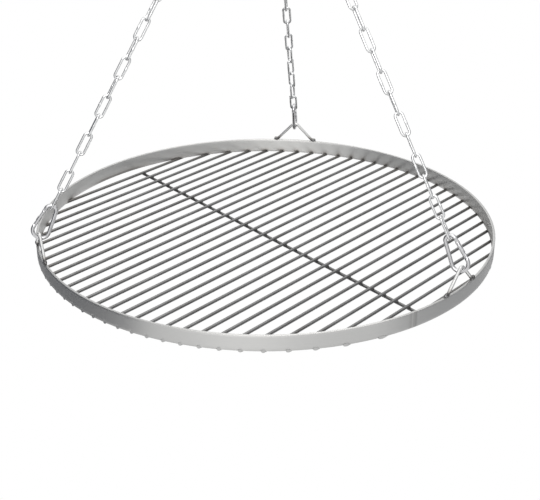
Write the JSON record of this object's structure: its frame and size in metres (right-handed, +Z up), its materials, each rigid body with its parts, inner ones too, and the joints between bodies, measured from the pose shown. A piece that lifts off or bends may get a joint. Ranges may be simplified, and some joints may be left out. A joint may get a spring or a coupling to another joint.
{
  "type": "tripod grill grate",
  "caption": "Round stainless grill grate with a flat bar rim and parallel rods, hung by long-link chains and snap hooks from a gather ring below a tripod's cable",
  "frame": {"origin": "where the tripod cable's eye bears, inside the narrow end of the top snap hook", "axes": "+Z up, the rods run along X, the hanger called right lies towards -Y"},
  "size_m": [0.6, 0.6064, 0.6477],
  "materials": {
    "band_steel": "satin, brushed along the bar",
    "rod_steel": "drawn, satin",
    "bail_steel": "bright drawn, heat tinted at the welds",
    "chain_steel": "bright plated",
    "hook_steel": "polished"
  },
  "bodies": {
    "top_hook": {"snap_top": "hook_steel", "rivet_top": "hook_steel"},
    "top_gate": {"gate_top": "hook_steel", "gate_spring_top": "hook_steel"},
    "gather_ring": {"ring": "hook_steel"},
    "grate": {"band": "band_steel", "rod_01": "rod_steel", "rod_02": "rod_steel", "rod_03": "rod_steel", "rod_04": "rod_steel", "rod_05": "rod_steel", "rod_06": "rod_steel", "rod_07": "rod_steel", "rod_08": "rod_steel", "rod_09": "rod_steel", "rod_10": "rod_steel", "rod_11": "rod_steel", "rod_12": "rod_steel", "rod_13": "rod_steel", "rod_14": "rod_steel", "rod_15": "rod_steel", "rod_16": "rod_steel", "rod_17": "rod_steel", "rod_18": "rod_steel", "rod_19": "rod_steel", "rod_20": "rod_steel", "rod_21": "rod_steel", "rod_22": "rod_steel", "rod_23": "rod_steel", "rod_24": "rod_steel", "rod_25": "rod_steel", "rod_26": "rod_steel", "rod_27": "rod_steel", "rod_28": "rod_steel", "rod_29": "rod_steel", "cross_bar": "rod_steel", "bail_back": "bail_steel", "bail_left": "bail_steel", "bail_right": "bail_steel", "chain_back": "chain_steel", "chain_left": "chain_steel", "chain_right": "chain_steel", "snap_back": "hook_steel", "snap_left": "hook_steel", "snap_right": "hook_steel", "rivet_back": "hook_steel", "rivet_left": "hook_steel", "rivet_right": "hook_steel"},
    "back_gate": {"gate_back": "hook_steel", "gate_spring_back": "hook_steel"},
    "left_gate": {"gate_left": "hook_steel", "gate_spring_left": "hook_steel"},
    "right_gate": {"gate_right": "hook_steel", "gate_spring_right": "hook_steel"}
  },
  "joints": [
    {"name": "ring_swing", "type": "hinge", "parent": "top_hook", "child": "gather_ring", "pos_m": [0, 0, -0.051], "axis": [0, 1, 0], "range_deg": [-20, 20]},
    {"name": "grate_swing", "type": "hinge", "parent": "gather_ring", "child": "grate", "pos_m": [0, 0, -0.08953], "axis": [1, 0, 0], "range_deg": [-15, 15]},
    {"name": "top_gate_hinge", "type": "hinge", "parent": "top_hook", "child": "top_gate", "pos_m": [0, 0.00852, -0.01015], "axis": [-1, 0, 0], "range_deg": [0, 28], "stiffness_Nm_per_rad": 0.03, "springref_deg": -34.38},
    {"name": "back_gate_hinge", "type": "hinge", "parent": "grate", "child": "back_gate", "pos_m": [0.24211, 0.15698, -0.55959], "axis": [-0.5477, 0.8367, 0.0062], "range_deg": [0, 28], "stiffness_Nm_per_rad": 0.02, "springref_deg": -34.38},
    {"name": "left_gate_hinge", "type": "hinge", "parent": "grate", "child": "left_gate", "pos_m": [-0.25269, 0.13895, -0.55969], "axis": [-0.6495, -0.7514, 0.1163], "range_deg": [0, 28], "stiffness_Nm_per_rad": 0.02, "springref_deg": -34.38},
    {"name": "right_gate_hinge", "type": "hinge", "parent": "grate", "child": "right_gate", "pos_m": [0.01189, -0.28779, -0.55981], "axis": [0.9576, 0.2559, -0.1326], "range_deg": [0, 28], "stiffness_Nm_per_rad": 0.02, "springref_deg": -34.38}
  ]
}
